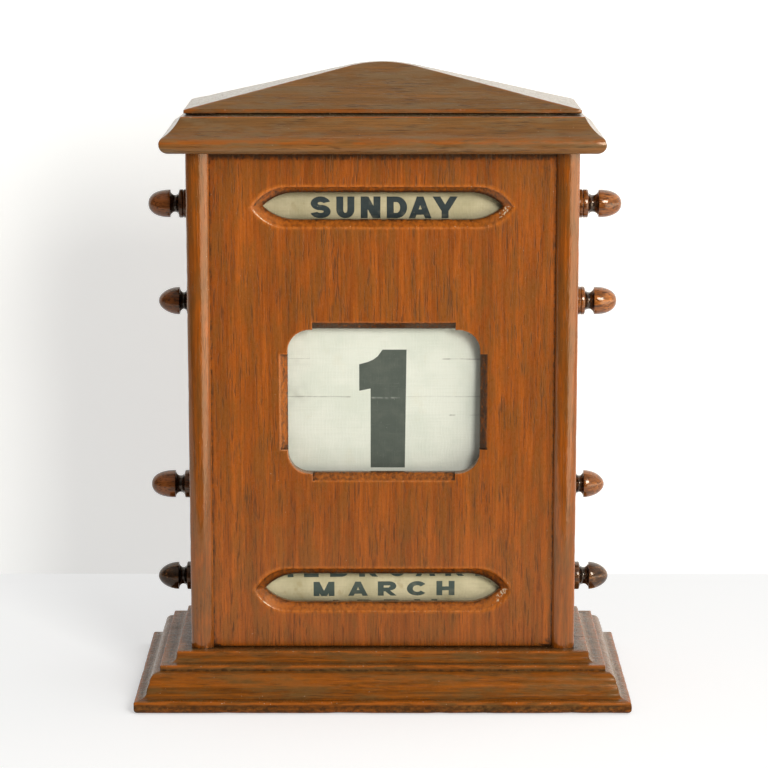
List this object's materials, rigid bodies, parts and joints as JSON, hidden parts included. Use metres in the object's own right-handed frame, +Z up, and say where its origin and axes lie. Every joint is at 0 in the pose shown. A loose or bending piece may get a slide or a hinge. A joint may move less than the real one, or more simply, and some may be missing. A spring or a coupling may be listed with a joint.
{
  "type": "perpetual desk calendar",
  "caption": "Roofed wooden desk calendar: knobs turn a weekday drum, a linen scroll of day numbers and a month drum behind a panel with windows.",
  "frame": {"origin": "middle of the underside of the base", "axes": "+Z up, -Y out of the front panel with the windows, +X to the viewer's right"},
  "size_m": [0.2156, 0.1116, 0.2772],
  "materials": {
    "oak_case": "old open-pored oak under worn varnish, grain upright",
    "oak_mouldings": "old oak under worn varnish, grain level, rubbed arrises",
    "oak_back": "dull stained oak",
    "knob_dark": "polished turned hardwood, dark",
    "knob_brown": "polished turned hardwood, orange brown",
    "roller_wood": "plain turned wood",
    "drum_cloth": "aged sized cloth with plain printed words",
    "scroll_linen": "sized linen with plain printed numbers",
    "brass_screws": "tarnished",
    "steel_screws": "dull"
  },
  "bodies": {
    "case": {"base_board": "oak_mouldings", "left_side": "oak_case", "right_side": "oak_case", "front_panel": "oak_case", "back_panel": "oak_back", "cornice_board": "oak_mouldings", "roof_block": "oak_mouldings", "base_screw_1": "steel_screws", "base_screw_2": "steel_screws", "base_screw_3": "steel_screws", "base_screw_4": "steel_screws", "cornice_screw_1": "steel_screws", "cornice_screw_2": "steel_screws", "cornice_screw_3": "steel_screws", "cornice_screw_4": "steel_screws", "back_screw_1": "brass_screws", "back_screw_2": "brass_screws", "back_screw_3": "brass_screws", "back_screw_4": "brass_screws", "back_screw_5": "brass_screws", "back_screw_6": "brass_screws", "date_linen": "scroll_linen"},
    "day": {"day_roller": "roller_wood", "day_label": "drum_cloth", "day_knob_left": "knob_dark", "day_knob_right": "knob_brown"},
    "date_upper": {"date_upper_roller": "roller_wood", "date_upper_roll": "scroll_linen", "date_upper_knob_left": "knob_dark", "date_upper_knob_right": "knob_brown"},
    "date_lower": {"date_lower_roller": "roller_wood", "date_lower_roll": "scroll_linen", "date_lower_knob_left": "knob_dark", "date_lower_knob_right": "knob_brown"},
    "month": {"month_roller": "roller_wood", "month_label": "drum_cloth", "month_knob_left": "knob_dark", "month_knob_right": "knob_brown"}
  },
  "joints": [
    {"name": "day_turn", "type": "hinge", "parent": "case", "child": "day", "pos_m": [0, -0.00695, 0.2161], "axis": [1, 0, 0], "continuous": true},
    {"name": "date_upper_turn", "type": "hinge", "parent": "case", "child": "date_upper", "pos_m": [0, -0.00695, 0.1733], "axis": [1, 0, 0], "range_deg": [0, 8100]},
    {"name": "date_lower_turn", "type": "hinge", "parent": "case", "child": "date_lower", "pos_m": [0, -0.00695, 0.0911], "axis": [1, 0, 0], "range_deg": [0, 8100]},
    {"name": "month_turn", "type": "hinge", "parent": "case", "child": "month", "pos_m": [0, -0.00695, 0.0492], "axis": [1, 0, 0], "continuous": true}
  ],
  "couplings": [
    {"joint": "date_lower_turn", "follows": "date_upper_turn", "ratio": 1}
  ]
}
